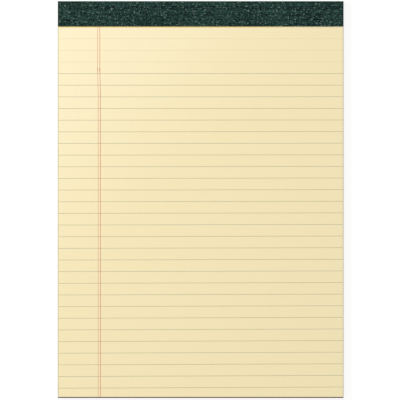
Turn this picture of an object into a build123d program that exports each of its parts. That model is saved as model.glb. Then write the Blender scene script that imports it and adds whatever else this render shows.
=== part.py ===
"""Letter-size legal pad.

A block of ruled sheets lies on a stiff board. Flat-wire stitches clamp the two together
near the head, and a cloth-grained tape is folded over the head to hide them. Each sheet
tears off along a perforation just below the tape.

Frame: +X to the right of the page, +Y towards the head, +Z out of the page. The origin is
the middle of the pad's footprint, on the surface that the pad lies on. Units: millimetres.
"""

import os

from build123d import *

# Sheets
pad_width = 215.9  # 8.5 in, side to side
page_length = 279.4  # 11 in, from the tear line to the foot of a sheet
sheet_count = 50
sheet_thickness = 0.09

# Board
board_thickness = 0.8
board_overhang = 0.7  # past the sheets, at the foot

# Binding tape
tape_thickness = 0.25
tape_front = 19.2  # depth of the flap on the page side
tape_back = 19.2  # depth of the flap under the board

# Perforation of the sheets
perforation_setback = 0.6  # from the edge of the front flap to the tear line
perforation_cut = 1.5
perforation_tie = 0.6
perforation_width = 0.15
perforation_end_tie = 2.0  # uncut paper at each end of the tear line, at least

# Wire stitches
stitch_count = 4
stitch_crown = 12.7  # between the middles of the two legs
stitch_clinch = 4.5  # from the middle of a leg to the end of its folded tip
stitch_depth = 9.5  # from the head of the sheets to the stitch line
stitch_end_margin = 20.0  # from the side of the pad to the nearest leg
wire_width = 0.7
wire_thickness = 0.5
wire_bend = 0.5  # radius of the wire's middle line
wire_clearance = 0.03  # round the wire, in the paper and the board

# Heights of the layers
board_bottom = tape_thickness
board_top = board_bottom + board_thickness
block_thickness = sheet_count * sheet_thickness
block_top = board_top + block_thickness
pad_top = block_top + tape_thickness

# Places along the pad
pad_length = tape_front + perforation_setback + page_length + board_overhang
head = pad_length / 2
foot = -pad_length / 2
stack_head = head - tape_thickness
block_foot = foot + board_overhang
block_length = stack_head - block_foot
board_length = stack_head - foot
tear_line = block_foot + page_length
stitch_line = stack_head - stitch_depth

# Rows of perforations and of stitches
perforation_pitch = perforation_cut + perforation_tie
perforation_room = pad_width - 2 * perforation_end_tie - perforation_cut
perforation_count = int(perforation_room // perforation_pitch) + 1
stitch_span = pad_width - 2 * stitch_end_margin - stitch_crown
stitch_pitch = stitch_span / (stitch_count - 1)

# One stitch, seen from the foot: the crown lies flush in the top sheet, the legs go down
# through the block and the board, and the tips are folded inwards, flush with the board
leg = stitch_crown / 2
tip = leg - stitch_clinch
crown_height = block_top - wire_thickness / 2
clinch_height = board_bottom + wire_thickness / 2
with BuildSketch(Plane.XZ) as wire_outline:
    with BuildLine():
        FilletPolyline(
            (-tip, clinch_height),
            (-leg, clinch_height),
            (-leg, crown_height),
            (leg, crown_height),
            (leg, clinch_height),
            (tip, clinch_height),
            radius=wire_bend,
        )
    trace(line_width=wire_thickness)

# The room that the wire takes up in the paper and the board
with BuildPart() as wire_room:
    with BuildSketch(Plane.XZ):
        add(wire_outline.sketch_local)
        offset(amount=wire_clearance, kind=Kind.INTERSECTION)
    extrude(amount=wire_width / 2 + wire_clearance, both=True)

# The middle of each stitch, from left to right
stitch_places = [
    (number * stitch_pitch - stitch_span / 2, stitch_line)
    for number in range(stitch_count)
]

# Sheet block
with BuildPart() as sheet_block:
    with BuildSketch(Plane.XY.offset(board_top)):
        with Locations((0, block_foot + block_length / 2)):
            Rectangle(pad_width, block_length)
    extrude(amount=block_thickness)
    with BuildSketch(Plane.XY.offset(board_top)):
        with Locations((0, tear_line)):
            with GridLocations(perforation_pitch, 0, perforation_count, 1):
                Rectangle(perforation_cut, perforation_width)
    extrude(amount=block_thickness, mode=Mode.SUBTRACT)
    with Locations(*stitch_places):
        add(wire_room.part, mode=Mode.SUBTRACT)

# Backing board
with BuildPart() as backing_board:
    with BuildSketch(Plane.XY.offset(board_bottom)):
        with Locations((0, foot + board_length / 2)):
            Rectangle(pad_width, board_length)
    extrude(amount=board_thickness)
    with Locations(*stitch_places):
        add(wire_room.part, mode=Mode.SUBTRACT)

# Binding tape: its inside corners are those of the stack, and its outside corners are
# rounded by its own thickness
with BuildPart() as binding_tape:
    with BuildSketch(Plane.YZ) as tape_section:
        with BuildLine():
            Polyline(
                (head - tape_back, 0),
                (head, 0),
                (head, pad_top),
                (head - tape_front, pad_top),
                (head - tape_front, block_top),
                (stack_head, block_top),
                (stack_head, board_bottom),
                (head - tape_back, board_bottom),
                close=True,
            )
        make_face()
        outside_corners = tape_section.vertices().group_by(Axis.Y)[-1]
        fillet(outside_corners, radius=tape_thickness)
    extrude(amount=pad_width / 2, both=True)

# One wire stitch, at the origin
with BuildPart() as wire:
    with BuildSketch(Plane.XZ):
        add(wire_outline.sketch_local)
    extrude(amount=wire_width / 2, both=True)

os.makedirs("parts", exist_ok=True)

sheet_block.part.label = "sheet_block"
export_step(sheet_block.part, "parts/sheet_block.step")

backing_board.part.label = "backing_board"
export_step(backing_board.part, "parts/backing_board.step")

binding_tape.part.label = "binding_tape"
export_step(binding_tape.part, "parts/binding_tape.step")

for number, place in enumerate(stitch_places, start=1):
    with BuildPart() as wire_stitch:
        with Locations(place):
            add(wire.part)
    wire_stitch.part.label = f"wire_stitch_{number}"
    export_step(wire_stitch.part, f"parts/wire_stitch_{number}.step")
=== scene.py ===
"""Looks of a letter-size legal pad: printed and perforated sheets, board, binding tape, wire and stage.

Lengths are in metres, in the frame of the construction model: +X to the right of the page, +Y towards
the bound head, +Z out of the page.
"""

import math

import bmesh
import bpy
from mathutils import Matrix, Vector, noise


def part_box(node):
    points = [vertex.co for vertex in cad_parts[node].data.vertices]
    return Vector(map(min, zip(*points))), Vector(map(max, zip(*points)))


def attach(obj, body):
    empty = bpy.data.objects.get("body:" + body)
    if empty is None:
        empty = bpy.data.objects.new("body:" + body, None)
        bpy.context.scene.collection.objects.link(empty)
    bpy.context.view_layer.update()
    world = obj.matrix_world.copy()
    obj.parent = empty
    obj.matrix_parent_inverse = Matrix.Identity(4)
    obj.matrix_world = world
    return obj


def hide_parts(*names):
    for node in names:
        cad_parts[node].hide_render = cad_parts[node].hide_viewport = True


bl_info = {
    "name": "Legal Pad",
    "version": (1, 0, 0),
    "blender": (4, 5, 0),
    "location": "View3D > Sidebar > Legal Pad",
    "description": "Builds the sheets, board, binding tape, wire and stage of a legal pad",
    "category": "Object",
}

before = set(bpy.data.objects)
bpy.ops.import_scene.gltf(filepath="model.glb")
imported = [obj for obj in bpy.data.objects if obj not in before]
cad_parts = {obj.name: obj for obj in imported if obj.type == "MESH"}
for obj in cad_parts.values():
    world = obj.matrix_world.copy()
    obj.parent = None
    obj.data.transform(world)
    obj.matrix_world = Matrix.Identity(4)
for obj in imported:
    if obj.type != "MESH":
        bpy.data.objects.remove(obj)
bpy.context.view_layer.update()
BLOCK_LOW, BLOCK_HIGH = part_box("sheet_block")
TAPE_LOW, TAPE_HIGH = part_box("binding_tape")
BODY = "root"
MM = 0.001


def linear(red, green, blue):
    """An sRGB colour, 0 to 255, as scene-linear numbers."""
    shares = [value / 255 for value in (red, green, blue)]
    return [s / 12.92 if s <= 0.04045 else ((s + 0.055) / 1.055) ** 2.4 for s in shares]


def length(name, description, default):
    return bpy.props.FloatProperty(
        name=name, description=description, default=default, unit="LENGTH", precision=6
    )


def share(name, description, default):
    return bpy.props.FloatProperty(
        name=name, description=description, default=default, subtype="FACTOR", min=0, max=1
    )


def colour(name, description, default):
    return bpy.props.FloatVectorProperty(
        name=name, description=description, default=default, subtype="COLOR", size=3, min=0, max=1
    )


# ---------------------------------------------------------------------------------------------
# Sizes and colours that a user would change


class SheetSettings(bpy.types.PropertyGroup):
    count: bpy.props.IntProperty(name="Sheets", description="Sheets in the block", default=50, min=2)
    air: share("Air", "Share of each sheet's pitch that is air", 0.14)
    side_draw: length("Side draw", "How far the trimmed sides lean out, top to bottom", 0.5 * MM)
    foot_draw: length("Foot draw", "How far the trimmed foot leans out, top to bottom", 0.12 * MM)
    jitter: length("Jitter", "Most that a sheet lies out of line", 0.035 * MM)
    cockle: length("Cockle", "Height of the gentle waves in the top sheet", 0.10 * MM)
    curl: length("Curl", "Lift of the top sheet's free corner", 0.45 * MM)
    seed: bpy.props.IntProperty(name="Seed", description="Seed of the sheets' jitter", default=7)
    paper: colour("Paper", "Canary paper", linear(243, 228, 184))
    # Painted sheen: a paler paper colour laid in towards the head's left corner, standing for the lamp's
    # light there
    sheen_paper: colour("Pale paper", "Paper near the head's left corner", linear(246, 233, 196))
    cut_edge: colour("Cut edge", "Trimmed edges of the sheets", linear(200, 188, 146))


class PrintSettings(bpy.types.PropertyGroup):
    first_rule: length("First rule", "From the head to the first rule", 54.7 * MM)
    rule_pitch: length("Rule pitch", "From one rule to the next", 8.79 * MM)
    rule_count: bpy.props.IntProperty(name="Rules", description="Number of rules", default=28, min=1)
    rule_width: length("Rule width", "Width of a rule", 0.27 * MM)
    skew_first: bpy.props.FloatProperty(
        name="Skew of the first rule", description="Rise of the first rule to the right", default=0.0003
    )
    skew_last: bpy.props.FloatProperty(
        name="Skew of the last rule", description="Rise of the last rule to the right", default=0.0042
    )
    faint_count: bpy.props.IntProperty(
        name="Faint rules", description="Rules that show through in the header", default=3, min=0
    )
    faint_width: length("Faint width", "Width of a rule that shows through", 0.42 * MM)
    margin_left: length("Left margin rule", "From the pad's left side", 30.54 * MM)
    margin_right: length("Right margin rule", "From the pad's left side", 32.18 * MM)
    margin_left_width: length("Left margin width", "Width of the left margin rule", 0.28 * MM)
    margin_right_width: length("Right margin width", "Width of the right margin rule", 0.36 * MM)
    header_end: length("Header end", "From the head to where the header's print ends", 50.5 * MM)
    header_shift: length("Header shift", "How far the header's margin rules stand to the left", 0.5 * MM)
    header_spread: bpy.props.FloatProperty(
        name="Header spread", description="How many times wider the header's margin rules are", default=1.9
    )
    rule_ink: colour("Rule ink", "Pale blue ink on canary paper", linear(150, 158, 132))
    faint_ink: colour("Faint ink", "Rule of the next printed side, seen through", linear(232, 219, 178))
    margin_ink: colour("Margin ink", "Red ink on canary paper", linear(196, 98, 72))
    left_ink: colour("Left margin ink", "The fainter of the two margin rules", linear(205, 118, 84))
    header_ink: colour("Header ink", "Margin rules in the header", linear(228, 183, 146))


class PerforationSettings(bpy.types.PropertyGroup):
    setback: length("Setback", "From the edge of the tape to the tear line", 0.6 * MM)
    cut: length("Cut", "Length of a slit", 1.5 * MM)
    tie: length("Tie", "Paper between two slits", 0.6 * MM)
    width: length("Width", "Width of a slit", 0.15 * MM)
    end_tie: length("End tie", "Least uncut paper at each end", 2.0 * MM)
    # Painted shadow: a deeper yellow for the paper just under the tape's edge, along the tear line
    tape_shadow: colour("Crease", "Paper bruised along the tear line", linear(244, 206, 116))


class TapeSettings(bpy.types.PropertyGroup):
    thickness: length("Thickness", "Thickness of the tape", 0.25 * MM)
    thread: length("Thread", "Distance between threads", 0.75 * MM)
    ridge: length("Ridge", "Height of the tape over a hidden stitch", 0.06 * MM)
    waver: length("Waver", "How far the cut edge of the front flap wanders", 0.05 * MM)
    cloth: colour("Cloth", "Green book cloth", linear(29, 54, 48))
    # Painted glints: a pale colour for the thread tops, standing for highlights on the weave
    glint: colour("Fleck", "Bare thread tops", linear(140, 156, 148))


class BoardSettings(bpy.types.PropertyGroup):
    # Painted shade in part: the pulp is this dark so that the board's thin ledge at the foot shows as the
    # near-black shadow line there
    pulp: colour("Pulp", "Dark grey pulp board", linear(46, 45, 45))
    fibre: colour("Fibre", "Pale fibres in the board", linear(88, 86, 82))


class WireSettings(bpy.types.PropertyGroup):
    steel: colour("Steel", "Galvanised stitching wire", linear(196, 198, 200))


class StageSettings(bpy.types.PropertyGroup):
    lens: bpy.props.FloatProperty(
        name="Lens", description="Focal length in millimetres, on a 36 mm sensor", default=900
    )
    view_width: length("View width", "Width that the camera takes in at the page", 302.3 * MM)
    aim_x: length("Aim X", "Where the camera looks, across the page", -0.53 * MM)
    aim_y: length("Aim Y", "Where the camera looks, along the page", -0.30 * MM)
    ambient: bpy.props.FloatProperty(name="Ambient", description="Strength of the sky", default=0.78)
    key_power: bpy.props.FloatProperty(
        name="Key", description="Power of the lamp past the head's left corner, in watts", default=6.3
    )
    floor_keep: share("Floor shading", "Share of the floor's own shading that the camera sees", 0.22)


class PadSettings(bpy.types.PropertyGroup):
    sheets: bpy.props.PointerProperty(type=SheetSettings)
    ruling: bpy.props.PointerProperty(type=PrintSettings)
    perforation: bpy.props.PointerProperty(type=PerforationSettings)
    tape: bpy.props.PointerProperty(type=TapeSettings)
    board: bpy.props.PointerProperty(type=BoardSettings)
    wire: bpy.props.PointerProperty(type=WireSettings)
    stage: bpy.props.PointerProperty(type=StageSettings)


# ---------------------------------------------------------------------------------------------
# Node helpers


def add_node(tree, kind, sockets=None, **settings):
    """A new node with its settings made and its inputs filled with values or joined to outputs."""
    node = tree.nodes.new(kind)
    for name, value in settings.items():
        setattr(node, name, value)
    for key, value in (sockets or {}).items():
        if isinstance(value, bpy.types.NodeSocket):
            tree.links.new(value, node.inputs[key])
        else:
            node.inputs[key].default_value = value
    return node


def sum_up(tree, operation, *values):
    """The output of a Math node on the given values or outputs."""
    return add_node(tree, "ShaderNodeMath", dict(enumerate(values)), operation=operation).outputs[0]


def mix_colours(tree, factor, first, second, blend="MIX"):
    """The output of a colour mix. A plain colour is given as three numbers."""
    colours = [c if isinstance(c, bpy.types.NodeSocket) else (*c, 1) for c in (first, second)]
    node = add_node(
        tree, "ShaderNodeMix", {0: factor, 6: colours[0], 7: colours[1]}, data_type="RGBA", blend_type=blend
    )
    return node.outputs[2]


def scale_by(tree, value, factor):
    """A colour or a vector made larger or smaller by a factor."""
    sockets = {0: value, "Scale": factor}
    return add_node(tree, "ShaderNodeVectorMath", sockets, operation="SCALE").outputs[0]


def spread_over(tree, value, low, high, to_low=0.0, to_high=1.0, smooth=True):
    """A value's way from low to high, as to_low to to_high, and held at both ends."""
    sockets = {"Value": value, "From Min": low, "From Max": high, "To Min": to_low, "To Max": to_high}
    kind = "SMOOTHSTEP" if smooth else "LINEAR"
    return add_node(tree, "ShaderNodeMapRange", sockets, interpolation_type=kind).outputs[0]


def grain(tree, place, size, detail=2.0, stretch=(1, 1, 1)):
    """Noise from 0 to 1 whose patches are about size metres across, drawn out by stretch."""
    scale = Vector([1 / (size * s) for s in stretch])
    spot = add_node(tree, "ShaderNodeMapping", {"Vector": place, "Scale": scale})
    sockets = {"Vector": spot.outputs[0], "Scale": 1.0, "Detail": detail}
    return add_node(tree, "ShaderNodeTexNoise", sockets).outputs[0]


def start_material(name, roughness, specular):
    """A material with one Principled shader, returned with its tree, shader and Object coordinates."""
    material = bpy.data.materials.new(name)
    material.use_nodes = True
    tree = material.node_tree
    tree.nodes.clear()
    shader = add_node(
        tree, "ShaderNodeBsdfPrincipled", {"Roughness": roughness, "Specular IOR Level": specular}
    )
    add_node(tree, "ShaderNodeOutputMaterial", {"Surface": shader.outputs[0]})
    place = add_node(tree, "ShaderNodeTexCoord").outputs["Object"]
    return material, tree, shader, place


def raise_surface(tree, shader, height, depth):
    """Bump on the shader: height is from 0 to 1, and depth is in metres."""
    bump = add_node(tree, "ShaderNodeBump", {"Height": height, "Strength": 1.0, "Distance": depth})
    tree.links.new(bump.outputs[0], shader.inputs["Normal"])


def finish_piece(piece, slot, *nodes):
    """Seats a finished piece on the pad's one body and hides the construction parts that it replaces. The
    slot, which would say what it stands for, is not used.
    """
    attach(piece, BODY)
    if nodes:
        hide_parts(*nodes)


def link_mesh(name, mesh, materials, smooth=False):
    """A new object for a mesh, with its materials."""
    for material in materials:
        mesh.materials.append(material)
    for face in mesh.polygons:
        face.use_smooth = smooth
    piece = bpy.data.objects.new(name, mesh)
    bpy.context.scene.collection.objects.link(piece)
    return piece


# ---------------------------------------------------------------------------------------------
# Geometry Nodes helpers


def start_tree(name, sockets):
    """A Geometry Nodes tree with a mesh in and out and the named inputs, returned with both ends."""
    tree = bpy.data.node_groups.new(name, "GeometryNodeTree")
    tree.interface.new_socket("Geometry", in_out="INPUT", socket_type="NodeSocketGeometry")
    tree.interface.new_socket("Geometry", in_out="OUTPUT", socket_type="NodeSocketGeometry")
    for label, kind in sockets.items():
        tree.interface.new_socket(label, in_out="INPUT", socket_type=kind)
    return tree, tree.nodes.new("NodeGroupInput").outputs, tree.nodes.new("NodeGroupOutput").inputs


def run_tree(piece, tree, values):
    """Runs a tree on a piece with these input values, and keeps the result as the piece's plain mesh."""
    modifier = piece.modifiers.new(tree.name, "NODES")
    modifier.node_group = tree
    for socket in tree.interface.items_tree:
        if socket.name in values:
            modifier[socket.identifier] = values[socket.name]
    graph = bpy.context.evaluated_depsgraph_get()
    mesh = bpy.data.meshes.new_from_object(piece.evaluated_get(graph), depsgraph=graph)
    piece.modifiers.remove(modifier)
    before = piece.data
    piece.data = mesh
    bpy.data.meshes.remove(before)


# ---------------------------------------------------------------------------------------------
# Paper


def sheet_lift(x, y, rank, sheets):
    """How far the paper stands above its flat place. rank goes from 0 at the board to 1 at the top."""
    width = BLOCK_HIGH.x - BLOCK_LOW.x
    across = (x - BLOCK_LOW.x) / width
    down = (TAPE_LOW.y - y) / (TAPE_LOW.y - BLOCK_LOW.y)
    if down <= 0:
        return 0.0
    waves_across, waves_down, noise_slice = 2.3, 3.1, 0.4
    wave = 0.5 + 0.5 * noise.noise(Vector((across * waves_across, down * waves_down, noise_slice)))
    corner_side, corner_foot = 0.55, 0.6
    corner = max(0.0, across - corner_side) / (1 - corner_side)
    corner *= max(0.0, down - corner_foot) / (1 - corner_foot)
    held_part = 0.25
    lift = sheets.cockle * wave * min(1.0, down / held_part) + sheets.curl * corner * corner
    return lift * rank**3


def paper_material(pad):
    """Canary paper: faint clouding, fine tooth, painted sheen towards the head's left corner, and a painted
    shadow line under the tape's edge along the perforation.
    """
    sheets = pad.sheets
    material, tree, shader, place = start_material("canary_paper", 0.82, 0.2)
    spot = add_node(tree, "ShaderNodeSeparateXYZ", {"Vector": place}).outputs
    clouds = grain(tree, place, 6 * MM, 3)
    tooth = grain(tree, place, 0.9 * MM, 3)
    fibres = grain(tree, place, 0.35 * MM, 2, (3, 1, 1))

    # Painted sheen: the paper is a little paler and less yellow towards the head's left corner, where the
    # lamp's light falls most
    diagonal = sum_up(tree, "SUBTRACT", spot["Y"], spot["X"])
    pale = spread_over(tree, diagonal, 0.02, 0.25)
    base = mix_colours(tree, pale, sheets.paper, sheets.sheen_paper)
    clouding = sum_up(tree, "MULTIPLY", clouds, 0.04)
    shade = sum_up(tree, "ADD", clouding, sum_up(tree, "MULTIPLY", tooth, 0.10))
    level = spread_over(tree, shade, 0.02, 0.12, 0.968, 1.012, smooth=False)
    mottled = scale_by(tree, base, level)

    # Painted shadow of the tape's edge along the tear line: strongest at the left, and dying away towards
    # the right side
    shadow_middle = TAPE_LOW.y - pad.perforation.setback / 2
    off_line = sum_up(tree, "ABSOLUTE", sum_up(tree, "SUBTRACT", spot["Y"], shadow_middle))
    near_line = spread_over(tree, off_line, 0.35 * MM, 0.6 * MM, 1, 0)
    left_part = spread_over(tree, spot["X"], 0.02, 0.09, 0.85, 0.1)
    painted_shadow = sum_up(tree, "MULTIPLY", near_line, left_part)
    coloured = mix_colours(tree, painted_shadow, mottled, pad.perforation.tape_shadow)
    tree.links.new(coloured, shader.inputs["Base Color"])
    raise_surface(tree, shader, sum_up(tree, "ADD", tooth, fibres), 0.02 * MM)
    return material


def ink_material(name, tint):
    """Printing ink that lies in the paper: plain colour, with the paper's tooth."""
    material, tree, shader, place = start_material(name, 0.8, 0.2)
    shader.inputs["Base Color"].default_value = (*tint, 1)
    raise_surface(tree, shader, grain(tree, place, 0.9 * MM, 3), 0.02 * MM)
    return material


def cut_edge_material(pad):
    """Trimmed edges of stacked sheets: each sheet has its own tone, and the knife leaves faint streaks."""
    material, tree, shader, place = start_material("sheet_edges", 0.9, 0.15)
    tone = add_node(tree, "ShaderNodeAttribute", attribute_name="sheet_tone").outputs["Fac"]
    streak = grain(tree, place, 1.2 * MM, 3, (1, 1, 8))
    sum_of = sum_up(tree, "ADD", sum_up(tree, "MULTIPLY", tone, 0.7), sum_up(tree, "MULTIPLY", streak, 0.3))
    base = mix_colours(tree, sum_of, [c * 0.78 for c in pad.sheets.cut_edge], pad.sheets.paper)
    tree.links.new(base, shader.inputs["Base Color"])
    raise_surface(tree, shader, streak, 0.02 * MM)
    return material


def print_rows(pad):
    """The printed page's cross lines as (place at the pad's middle, slope, kind of the band below it)."""
    printed = pad.ruling
    rows = [(BLOCK_HIGH.y, 0.0, "paper"), (TAPE_LOW.y, 0.0, "paper")]
    rows.append((TAPE_HIGH.y - printed.header_end, 0.0, "paper"))
    last = max(printed.rule_count - 1, 1)
    for number in range(-printed.faint_count, printed.rule_count):
        faint = number < 0
        middle = TAPE_HIGH.y - printed.first_rule - number * printed.rule_pitch
        half = (printed.faint_width if faint else printed.rule_width) / 2
        way = max(number, 0) / last
        slope = printed.skew_first + (printed.skew_last - printed.skew_first) * way
        rows.append((middle + half, slope, "faint rule" if faint else "rule"))
        rows.append((middle - half, slope, "paper"))
    rows.sort(key=lambda row: -row[0])
    return rows


def print_columns(pad, low, high):
    """The page's lines along Y as (place, margin rule, side of that rule, kind of the band to the right)."""
    printed = pad.ruling
    middles = (BLOCK_LOW.x + printed.margin_left, BLOCK_LOW.x + printed.margin_right)
    halves = (printed.margin_left_width / 2, printed.margin_right_width / 2)
    columns = []
    for which in (0, 1):
        columns.append((middles[which] - halves[which], which, -1, "margin"))
        columns.append((middles[which] + halves[which], which, 1, "paper"))
    clear = 2 * MM
    step = 9 * MM
    count = round((high - low) / step)
    for number in range(count + 1):
        place = low + (high - low) * number / count
        if number in (0, count) or all(abs(place - m) > clear for m in middles):
            columns.append((place, None, 0, "paper"))
    columns.sort(key=lambda column: column[0])
    return columns


def column_place(pad, column, y):
    """Where a line along Y is at this height: the margin rules drift and spread a little in the header."""
    place, which, side, _ = column
    if which is None:
        return place
    printed = pad.ruling
    header = TAPE_HIGH.y - printed.header_end
    below = (header - y) / (2.5 * printed.rule_pitch)
    drift = 1 - min(1.0, max(0.0, below)) if below > 0 else 1.0
    width = (printed.margin_left_width, printed.margin_right_width)[which]
    spread = (printed.header_spread - 1) * width / 2 if y >= header else 0.0
    return place - printed.header_shift * drift + side * spread


def printed_sheet(pad, paper, edge):
    """Mesh of the top sheet: a closed slab whose upper side is divided along the printed lines."""
    sheets = pad.sheets
    printed = pad.ruling
    pitch = (BLOCK_HIGH.z - BLOCK_LOW.z) / sheets.count
    top = BLOCK_HIGH.z
    bottom = top - pitch * (1 - sheets.air)
    low = BLOCK_LOW.x + sheets.side_draw
    high = BLOCK_HIGH.x - sheets.side_draw
    foot = BLOCK_LOW.y + sheets.foot_draw
    rows = print_rows(pad) + [(foot, 0.0, "end")]
    columns = print_columns(pad, low, high)
    slots = {"paper": 0, "edge": 1, "rule": 2, "faint rule": 3, "margin": 4, "left": 5, "header": 6}

    bm = bmesh.new()
    grid = {}
    for i, (row_y, slope, _) in enumerate(rows):
        for j, column in enumerate(columns):
            x = column_place(pad, column, row_y)
            y = row_y + slope * x
            lift = sheet_lift(x, y, 1.0, sheets)
            for level, z in enumerate((bottom, top)):
                grid[i, j, level] = bm.verts.new((x, y, z + lift))
    header = TAPE_HIGH.y - printed.header_end
    last_row = len(rows) - 1
    last_column = len(columns) - 1

    def add_face(kind, *corners):
        bm.faces.new([grid[corner] for corner in corners]).material_index = slots[kind]

    for i in range(last_row):
        for j in range(last_column):
            kind = rows[i][2]
            if columns[j][3] == "margin":
                kind = "left" if columns[j][1] == 0 else "margin"
                if rows[i][0] > header:
                    kind = "header"
            add_face(kind, (i, j, 1), (i + 1, j, 1), (i + 1, j + 1, 1), (i, j + 1, 1))
            add_face("paper", (i, j, 0), (i, j + 1, 0), (i + 1, j + 1, 0), (i + 1, j, 0))
    for i in range(last_row):
        add_face("edge", (i, 0, 0), (i + 1, 0, 0), (i + 1, 0, 1), (i, 0, 1))
        j = last_column
        add_face("edge", (i, j, 0), (i, j, 1), (i + 1, j, 1), (i + 1, j, 0))
    for j in range(last_column):
        add_face("edge", (0, j, 0), (0, j, 1), (0, j + 1, 1), (0, j + 1, 0))
        i = last_row
        add_face("edge", (i, j, 0), (i, j + 1, 0), (i, j + 1, 1), (i, j, 1))
    bmesh.ops.recalc_face_normals(bm, faces=bm.faces)
    mesh = bpy.data.meshes.new("top_sheet")
    bm.to_mesh(mesh)
    bm.free()

    inks = [
        ink_material("rule_ink", printed.rule_ink),
        ink_material("faint_rule_ink", printed.faint_ink),
        ink_material("margin_ink", printed.margin_ink),
        ink_material("left_margin_ink", printed.left_ink),
        ink_material("header_margin_ink", printed.header_ink),
    ]
    return link_mesh("top_sheet", mesh, [paper, edge, *inks])


def perforation_tree():
    """Cuts a row of slits along X through the mesh."""
    sockets = {
        "Middle": "NodeSocketVector",
        "Count": "NodeSocketInt",
        "Pitch": "NodeSocketFloat",
        "Slit": "NodeSocketVector",
        "Material": "NodeSocketMaterial",
    }
    tree, given, result = start_tree("perforation", sockets)
    gaps = sum_up(tree, "SUBTRACT", given["Count"], 1)
    half_run = sum_up(tree, "MULTIPLY", sum_up(tree, "MULTIPLY", gaps, given["Pitch"]), -0.5)
    back = add_node(tree, "ShaderNodeCombineXYZ", {"X": half_run}).outputs[0]
    ends = {0: given["Middle"], 1: back}
    start = add_node(tree, "ShaderNodeVectorMath", ends, operation="ADD").outputs[0]
    step = add_node(tree, "ShaderNodeCombineXYZ", {"X": given["Pitch"]}).outputs[0]
    row = add_node(
        tree, "GeometryNodeMeshLine", {"Count": given["Count"], "Start Location": start, "Offset": step}
    ).outputs[0]
    slit = add_node(tree, "GeometryNodeMeshCube", {"Size": given["Slit"]}).outputs[0]
    slits = add_node(tree, "GeometryNodeInstanceOnPoints", {"Points": row, "Instance": slit}).outputs[0]
    cutters = add_node(tree, "GeometryNodeRealizeInstances", {"Geometry": slits}).outputs[0]
    worn = add_node(
        tree, "GeometryNodeSetMaterial", {"Geometry": cutters, "Material": given["Material"]}
    ).outputs[0]
    cut = add_node(tree, "GeometryNodeMeshBoolean", operation="DIFFERENCE", solver="EXACT")
    tree.links.new(given["Geometry"], cut.inputs["Mesh 1"])
    tree.links.new(worn, cut.inputs["Mesh 2"])
    tree.links.new(cut.outputs["Mesh"], result[0])
    return tree


def stack_tree():
    """A pile of subdivided sheets, each a little wider than the one above and a little out of line."""
    sockets = {
        "Count": "NodeSocketInt",
        "Base": "NodeSocketVector",
        "Pitch": "NodeSocketFloat",
        "Sheet": "NodeSocketVector",
        "Draw": "NodeSocketVector",
        "Jitter": "NodeSocketFloat",
        "Seed": "NodeSocketInt",
        "Material": "NodeSocketMaterial",
    }
    tree, given, result = start_tree("sheet_pile", sockets)
    rise = add_node(tree, "ShaderNodeCombineXYZ", {"Z": given["Pitch"]}).outputs[0]
    row = add_node(
        tree,
        "GeometryNodeMeshLine",
        {"Count": given["Count"], "Start Location": given["Base"], "Offset": rise},
    ).outputs[0]
    sheet = add_node(
        tree,
        "GeometryNodeMeshCube",
        {"Size": given["Sheet"], "Vertices X": 13, "Vertices Y": 19, "Vertices Z": 2},
    ).outputs[0]

    # Jitter, and a share of the draw that grows from 0 at the bottom sheet to 1 at the top
    index = add_node(tree, "GeometryNodeInputIndex").outputs[0]
    way = sum_up(tree, "DIVIDE", index, given["Count"])
    across = add_node(tree, "ShaderNodeCombineXYZ", {"X": given["Jitter"], "Y": given["Jitter"]}).outputs[0]
    back = scale_by(tree, across, -1.0)
    reach = {0: back, 1: across, "Seed": given["Seed"]}
    slip = add_node(tree, "FunctionNodeRandomValue", reach, data_type="FLOAT_VECTOR").outputs[0]
    pile = add_node(tree, "GeometryNodeSetPosition", {"Geometry": row, "Offset": slip}).outputs[0]
    lost = scale_by(tree, given["Draw"], way)
    share_lost = add_node(
        tree, "ShaderNodeVectorMath", {0: lost, 1: given["Sheet"]}, operation="DIVIDE"
    ).outputs[0]
    scale = add_node(
        tree, "ShaderNodeVectorMath", {0: (1.0, 1.0, 1.0), 1: share_lost}, operation="SUBTRACT"
    ).outputs[0]
    sheets = add_node(
        tree, "GeometryNodeInstanceOnPoints", {"Points": pile, "Instance": sheet, "Scale": scale}
    ).outputs[0]
    tone = add_node(tree, "FunctionNodeRandomValue", {"Seed": given["Seed"]}, data_type="FLOAT").outputs[1]
    toned = add_node(
        tree,
        "GeometryNodeStoreNamedAttribute",
        {"Geometry": sheets, "Name": "sheet_tone", "Value": tone},
        data_type="FLOAT",
        domain="INSTANCE",
    ).outputs[0]
    solid = add_node(tree, "GeometryNodeRealizeInstances", {"Geometry": toned}).outputs[0]
    worn = add_node(
        tree, "GeometryNodeSetMaterial", {"Geometry": solid, "Material": given["Material"]}
    ).outputs[0]
    tree.links.new(worn, result[0])
    return tree


class PAD_OT_top_sheet(bpy.types.Operator):
    """Make the printed top sheet, and perforate it below the tape"""

    bl_idname = "legal_pad.top_sheet"
    bl_label = "Top Sheet"

    def execute(self, context):
        pad = context.scene.legal_pad
        edge = cut_edge_material(pad)
        piece = printed_sheet(pad, paper_material(pad), edge)
        cuts = pad.perforation
        pitch = cuts.cut + cuts.tie
        room = BLOCK_HIGH.x - BLOCK_LOW.x - 2 * cuts.end_tie - cuts.cut
        sheet = (BLOCK_HIGH.z - BLOCK_LOW.z) / pad.sheets.count
        values = {
            "Middle": (0.0, TAPE_LOW.y - cuts.setback, BLOCK_HIGH.z - sheet / 2),
            "Count": int(room // pitch) + 1,
            "Pitch": pitch,
            "Slit": (cuts.cut, cuts.width, 3 * sheet),
            "Material": edge,
        }
        run_tree(piece, perforation_tree(), values)
        finish_piece(piece, "ruled_paper", "sheet_block")
        return {"FINISHED"}


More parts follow.
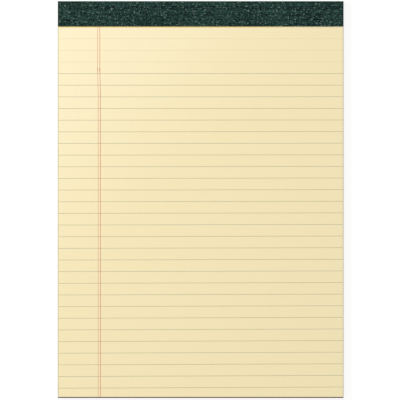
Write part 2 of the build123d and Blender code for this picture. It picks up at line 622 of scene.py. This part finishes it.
class PAD_OT_lower_sheets(bpy.types.Operator):
    """Pile up the sheets below the top one"""

    bl_idname = "legal_pad.lower_sheets"
    bl_label = "Lower Sheets"

    def execute(self, context):
        sheets = context.scene.legal_pad.sheets
        pitch = (BLOCK_HIGH.z - BLOCK_LOW.z) / sheets.count
        count = sheets.count - 1
        slack = 2 * sheets.jitter
        size = BLOCK_HIGH - BLOCK_LOW - Vector((slack, slack, 0))
        middle = (BLOCK_HIGH + BLOCK_LOW) / 2
        values = {
            "Count": count,
            "Base": (middle.x, middle.y, BLOCK_LOW.z + pitch / 2),
            "Pitch": pitch,
            "Sheet": (size.x, size.y, pitch * (1 - sheets.air)),
            "Draw": (2 * sheets.side_draw, 2 * sheets.foot_draw, 0.0),
            "Jitter": sheets.jitter,
            "Seed": sheets.seed,
            "Material": cut_edge_material(context.scene.legal_pad),
        }
        piece = link_mesh("lower_sheets", bpy.data.meshes.new("lower_sheets"), [])
        run_tree(piece, stack_tree(), values)
        for vertex in piece.data.vertices:
            x, y, z = vertex.co
            rank = max(0.0, min(1.0, (z - BLOCK_LOW.z) / (BLOCK_HIGH.z - BLOCK_LOW.z)))
            vertex.co.z += sheet_lift(x, y, rank, sheets)
        finish_piece(piece, "ruled_paper", "sheet_block")
        return {"FINISHED"}


# ---------------------------------------------------------------------------------------------
# Binding tape


def cloth_material(pad):
    """Green book cloth: a plain weave on the tape's own map, uneven threads, painted glints on the thread
    tops and painted shade at the two ends.
    """
    tape = pad.tape
    material, tree, shader, place = start_material("green_book_cloth", 0.75, 0.08)
    woven = add_node(tree, "ShaderNodeUVMap", uv_map="weave").outputs[0]
    threads = scale_by(tree, woven, 1 / tape.thread)
    drift = {"Vector": threads, "Scale": 0.35, "Detail": 1.0}
    wander = add_node(tree, "ShaderNodeTexNoise", drift).outputs[1]
    bent = add_node(
        tree,
        "ShaderNodeVectorMath",
        {0: wander, 1: (0.5, 0.5, 0.0), 2: threads},
        operation="MULTIPLY_ADD",
    ).outputs[0]
    at = add_node(tree, "ShaderNodeSeparateXYZ", {"Vector": bent}).outputs

    # Which thread is on top in each crossing, and how high it stands there
    parity = sum_up(tree, "ADD", sum_up(tree, "FLOOR", at["X"]), sum_up(tree, "FLOOR", at["Y"]))
    over = sum_up(tree, "PINGPONG", parity, 1.0)
    ribs = [
        sum_up(tree, "ABSOLUTE", sum_up(tree, "SINE", sum_up(tree, "MULTIPLY", at[axis], math.pi)))
        for axis in ("X", "Y")
    ]
    weft_side = sum_up(tree, "MULTIPLY", ribs[1], sum_up(tree, "SUBTRACT", 1.0, over))
    height = sum_up(tree, "MULTIPLY_ADD", ribs[0], over, weft_side)

    # Tone of each crossing and of each thread along the tape
    cell = add_node(tree, "ShaderNodeVectorMath", {0: bent}, operation="FLOOR").outputs[0]
    crossing = add_node(tree, "ShaderNodeTexWhiteNoise", {"Vector": cell}, noise_dimensions="2D").outputs[0]
    thread = add_node(
        tree, "ShaderNodeTexWhiteNoise", {"W": sum_up(tree, "FLOOR", at["Y"])}, noise_dimensions="1D"
    ).outputs[0]
    dashes = grain(tree, woven, 1.3 * MM, 2, (1.8, 0.7, 1))
    patches = grain(tree, place, 26 * MM, 2)
    tone = 0.0
    for part, weight in ((crossing, 0.6), (thread, 0.3), (dashes, 0.5), (patches, 0.35)):
        tone = sum_up(tree, "MULTIPLY_ADD", part, weight, tone)
    level = spread_over(tree, tone, 0.45, 1.3, -0.1, 2.1, smooth=False)
    cloth = scale_by(tree, tape.cloth, level)
    # Painted glints: the pale colour is laid where the crossing and dash noise are both high
    painted_glint = spread_over(tree, sum_up(tree, "MULTIPLY", crossing, dashes), 0.42, 0.66, 0, 0.55)
    glinted = mix_colours(tree, painted_glint, cloth, tape.glint)

    # Painted shade: the cloth darkens within 1.2 mm of the tape's two ends, where its side faces fall in
    # shadow
    ends = sum_up(tree, "ABSOLUTE", add_node(tree, "ShaderNodeSeparateXYZ", {"Vector": place}).outputs["X"])
    end_shade = spread_over(tree, ends, TAPE_HIGH.x - 1.2 * MM, TAPE_HIGH.x - 0.3 * MM)
    coloured = mix_colours(tree, end_shade, glinted, [c * 0.3 for c in tape.cloth])
    tree.links.new(coloured, shader.inputs["Base Color"])
    raise_surface(tree, shader, height, 0.05 * MM)
    return material


def tape_profile(tape):
    """The tape's section as (y, z) points: the outer side from back flap to front, then the inner side."""
    head, top, base = TAPE_HIGH.y, TAPE_HIGH.z, TAPE_LOW.z
    radius = tape.thickness
    flap = TAPE_HIGH.y - TAPE_LOW.y
    flap_steps, spine_steps, corner_steps = 32, 8, 6
    outer = [(head - flap + (flap - radius) * n / flap_steps, base) for n in range(flap_steps)]
    for centre_z, first_turn in ((base + radius, -90), (top - radius, 0)):
        for n in range(corner_steps + 1):
            turn = math.radians(first_turn + 90 * n / corner_steps)
            outer.append(
                (head - radius + radius * math.cos(turn), centre_z + radius * math.sin(turn))
            )
        if first_turn < 0:
            spine = top - base - 2 * radius
            outer += [(head, base + radius + spine * n / spine_steps) for n in range(1, spine_steps)]
    outer += [(head - radius - (flap - radius) * n / flap_steps, top) for n in range(1, flap_steps + 1)]
    inner = [
        (head - flap, top - radius),
        (head - radius, top - radius),
        (head - radius, base + radius),
        (head - flap, base + radius),
    ]
    return outer, inner


class PAD_OT_binding_tape(bpy.types.Operator):
    """Fold the cloth tape over the head, with low ridges over the hidden stitches"""

    bl_idname = "legal_pad.binding_tape"
    bl_label = "Binding Tape"

    def execute(self, context):
        pad = context.scene.legal_pad
        tape = pad.tape
        outer, inner = tape_profile(tape)
        section = outer + inner
        along = [0.0]
        for (y0, z0), (y1, z1) in zip(section, section[1:] + section[:1], strict=True):
            along.append(along[-1] + math.hypot(y1 - y0, z1 - z0))
        stitches = [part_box(name) for name in sorted(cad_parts) if name.startswith("wire_stitch")]
        columns = 240
        edge_part = 0.5 * MM
        wavers_per_metre = 160
        width = TAPE_HIGH.x - TAPE_LOW.x
        bm = bmesh.new()
        weave = bm.loops.layers.uv.new("weave")
        rings = []
        for n in range(columns + 1):
            x = TAPE_LOW.x + width * n / columns
            ring = []
            for y, z in section:
                if z > TAPE_HIGH.z - tape.thickness / 2:
                    z += self.ridge(tape, stitches, x, y)
                if y < TAPE_LOW.y + edge_part and z > TAPE_LOW.z + 2 * tape.thickness:
                    y += tape.waver * noise.noise(Vector((x * wavers_per_metre, 0.0, 0.0)))
                ring.append(bm.verts.new((x, y, z)))
            rings.append(ring)
        points = len(section)
        for n in range(columns):
            for k in range(points):
                after = (k + 1) % points
                face = bm.faces.new((rings[n][k], rings[n + 1][k], rings[n + 1][after], rings[n][after]))
                face.smooth = k < len(outer) - 1
                corners = ((n, k), (n + 1, k), (n + 1, k + 1), (n, k + 1))
                for loop, (across, down) in zip(face.loops, corners, strict=True):
                    loop[weave].uv = (width * across / columns, along[down])
        # One face closes each end of the tape
        for ring in (rings[0], rings[-1]):
            end = bm.faces.new(ring)
            for loop in end.loops:
                loop[weave].uv = (loop.vert.co.y, loop.vert.co.z)
        bmesh.ops.recalc_face_normals(bm, faces=bm.faces)
        mesh = bpy.data.meshes.new("folded_tape")
        bm.to_mesh(mesh)
        bm.free()
        mesh.materials.append(cloth_material(pad))
        piece = bpy.data.objects.new("folded_tape", mesh)
        context.scene.collection.objects.link(piece)
        finish_piece(piece, "binding_cloth", "binding_tape")
        return {"FINISHED"}

    def ridge(self, tape, stitches, x, y):
        """Height of the tape at this place, over the crowns of the stitches."""
        soft_along, soft_beside = 0.9 * MM, 1.2 * MM
        total = 0.0
        for low, high in stitches:
            middle = (low + high) / 2
            beside = max(0.0, abs(x - middle.x) - (high.x - low.x) / 2)
            total += math.exp(-((beside / soft_beside) ** 2) - ((y - middle.y) / soft_along) ** 2)
        return tape.ridge * total


# ---------------------------------------------------------------------------------------------
# Board and wire


def board_material(pad):
    """Near-black pulp board with a cloudy tone and pale fibres. The pulp is kept this dark so that the
    board's ledge past the sheets' foot shows as a near-black line, which is partly painted shade.
    """
    material, tree, shader, place = start_material("grey_pulp_board", 0.9, 0.15)
    pulp = grain(tree, place, 3 * MM, 4)
    fibres = grain(tree, place, 0.7 * MM, 3, (2.5, 1, 1))
    level = spread_over(tree, pulp, 0.3, 0.7, 0.85, 1.15)
    base = scale_by(tree, pad.board.pulp, level)
    flecks = spread_over(tree, fibres, 0.62, 0.72, 0, 0.7)
    tree.links.new(mix_colours(tree, flecks, base, pad.board.fibre), shader.inputs["Base Color"])
    raise_surface(tree, shader, fibres, 0.03 * MM)
    return material


def wire_material(pad):
    """Galvanised flat wire with drawing lines."""
    material, tree, shader, place = start_material("stitching_wire", 0.35, 0.5)
    shader.inputs["Metallic"].default_value = 1.0
    lines = grain(tree, place, 0.15 * MM, 2, (10, 1, 1))
    level = spread_over(tree, lines, 0.3, 0.7, 0.85, 1.05)
    base = scale_by(tree, pad.wire.steel, level)
    tree.links.new(base, shader.inputs["Base Color"])
    tree.links.new(spread_over(tree, lines, 0.3, 0.7, 0.28, 0.45), shader.inputs["Roughness"])
    return material


def wear_material(node, material):
    """Gives a piece of the construction model its finish."""
    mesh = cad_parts[node].data
    mesh.materials.clear()
    mesh.materials.append(material)


class PAD_OT_backing_board(bpy.types.Operator):
    """Give the board its pulp finish"""

    bl_idname = "legal_pad.backing_board"
    bl_label = "Backing Board"

    def execute(self, context):
        wear_material("backing_board", board_material(context.scene.legal_pad))
        return {"FINISHED"}


class PAD_OT_wire_stitches(bpy.types.Operator):
    """Give the hidden wire stitches their finish"""

    bl_idname = "legal_pad.wire_stitches"
    bl_label = "Wire Stitches"

    def execute(self, context):
        steel = wire_material(context.scene.legal_pad)
        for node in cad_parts:
            if node.startswith("wire_stitch"):
                wear_material(node, steel)
        return {"FINISHED"}


# ---------------------------------------------------------------------------------------------
# Stage


def seen_directly(tree):
    """1 for rays from the camera, off gloss or through glass, and 0 for the rays that light the object."""
    rays = add_node(tree, "ShaderNodeLightPath").outputs
    either = sum_up(tree, "MAXIMUM", rays["Is Camera Ray"], rays["Is Glossy Ray"])
    return sum_up(tree, "MAXIMUM", either, rays["Is Transmission Ray"])


def floor_material(stage):
    """Pale floor that keeps the pad's shadow, and fades to plain white away from it."""
    material = bpy.data.materials.new("white_floor")
    material.use_nodes = True
    tree = material.node_tree
    tree.nodes.clear()
    floor_grey = (0.8, 0.8, 0.8, 1)
    matt = add_node(tree, "ShaderNodeBsdfDiffuse", {"Color": floor_grey}).outputs[0]
    shaded = add_node(tree, "ShaderNodeBsdfDiffuse", {"Color": (*[stage.floor_keep] * 3, 1)}).outputs[0]
    lit_floor = 1.03
    glow = lit_floor - stage.floor_keep
    lit = add_node(tree, "ShaderNodeEmission", {"Strength": glow}).outputs[0]
    white = add_node(tree, "ShaderNodeEmission", {"Strength": 1.0}).outputs[0]
    near = add_node(tree, "ShaderNodeAddShader", {0: shaded, 1: lit}).outputs[0]
    place = add_node(tree, "ShaderNodeTexCoord").outputs["Object"]
    away = add_node(tree, "ShaderNodeVectorMath", {0: place}, operation="LENGTH").outputs["Value"]
    shadow_reach, white_from = 0.22, 0.45
    fade = spread_over(tree, away, shadow_reach, white_from)
    shown = add_node(tree, "ShaderNodeMixShader", {0: fade, 1: near, 2: white}).outputs[0]
    surface = add_node(tree, "ShaderNodeMixShader", {0: seen_directly(tree), 1: matt, 2: shown}).outputs[0]
    add_node(tree, "ShaderNodeOutputMaterial", {"Surface": surface})
    return material


def make_floor(stage):
    half = 12.0
    bm = bmesh.new()
    bmesh.ops.create_grid(bm, x_segments=2, y_segments=2, size=half)
    mesh = bpy.data.meshes.new("floor")
    bm.to_mesh(mesh)
    bm.free()
    floor = link_mesh("floor", mesh, [floor_material(stage)])


def make_world(stage):
    world = bpy.data.worlds.new("studio")
    world.use_nodes = True
    tree = world.node_tree
    tree.nodes.clear()
    sky = add_node(tree, "ShaderNodeBackground", {"Strength": stage.ambient}).outputs[0]
    white = add_node(tree, "ShaderNodeBackground", {"Strength": 1.0}).outputs[0]
    for background in (sky, white):
        background.node.inputs["Color"].default_value = (1, 1, 1, 1)
    surface = add_node(tree, "ShaderNodeMixShader", {0: seen_directly(tree), 1: sky, 2: white}).outputs[0]
    add_node(tree, "ShaderNodeOutputWorld", {"Surface": surface})
    bpy.context.scene.world = world


def make_lamp(name, place, target, power, size):
    data = bpy.data.lights.new(name, "AREA")
    data.energy = power
    data.size = size
    lamp = bpy.data.objects.new(name, data)
    lamp.location = place
    lamp.rotation_euler = (Vector(target) - Vector(place)).to_track_quat("-Z", "Y").to_euler()
    bpy.context.scene.collection.objects.link(lamp)


def make_camera(stage):
    data = bpy.data.cameras.new("camera")
    data.sensor_width = 36
    data.lens = stage.lens
    distance = stage.view_width * data.lens / data.sensor_width
    camera = bpy.data.objects.new("camera", data)
    camera.location = (stage.aim_x, stage.aim_y, BLOCK_HIGH.z + distance)
    bpy.context.scene.collection.objects.link(camera)
    bpy.context.scene.camera = camera


class PAD_OT_stage(bpy.types.Operator):
    """Set up the floor, the light and the camera"""

    bl_idname = "legal_pad.stage"
    bl_label = "Stage"

    def execute(self, context):
        stage = context.scene.legal_pad.stage
        make_camera(stage)
        make_floor(stage)
        make_world(stage)
        key_place = (-0.85, 0.52, 0.75)
        key_size = 0.35
        make_lamp("key", key_place, (0, 0, 0), stage.key_power, key_size)
        context.scene.view_settings.view_transform = "Standard"
        return {"FINISHED"}


class PAD_PT_panel(bpy.types.Panel):
    """Lists the steps that build the pad, and their sizes"""

    bl_idname = "PAD_PT_panel"
    bl_label = "Legal Pad"
    bl_space_type = "VIEW_3D"
    bl_region_type = "UI"
    bl_category = "Legal Pad"

    def draw(self, context):
        pad = context.scene.legal_pad
        for step, groups in STEPS.items():
            self.layout.operator(f"legal_pad.{step}")
            for group in groups:
                settings = getattr(pad, group)
                for name in settings.__annotations__:
                    self.layout.prop(settings, name)


# Each step's operator, and the groups of settings that go with it
STEPS = {
    "stage": ("stage",),
    "top_sheet": ("ruling", "perforation"),
    "lower_sheets": ("sheets",),
    "binding_tape": ("tape",),
    "backing_board": ("board",),
    "wire_stitches": ("wire",),
}

CLASSES = (
    SheetSettings,
    PrintSettings,
    PerforationSettings,
    TapeSettings,
    BoardSettings,
    WireSettings,
    StageSettings,
    PadSettings,
    PAD_OT_stage,
    PAD_OT_top_sheet,
    PAD_OT_lower_sheets,
    PAD_OT_binding_tape,
    PAD_OT_backing_board,
    PAD_OT_wire_stitches,
    PAD_PT_panel,
)


def register():
    for cls in CLASSES:
        bpy.utils.register_class(cls)
    bpy.types.Scene.legal_pad = bpy.props.PointerProperty(type=PadSettings)


def unregister():
    del bpy.types.Scene.legal_pad
    for cls in reversed(CLASSES):
        bpy.utils.unregister_class(cls)


def main():
    register()
    for step in STEPS:
        getattr(bpy.ops.legal_pad, step)()


if __name__ == "__main__":
    main()
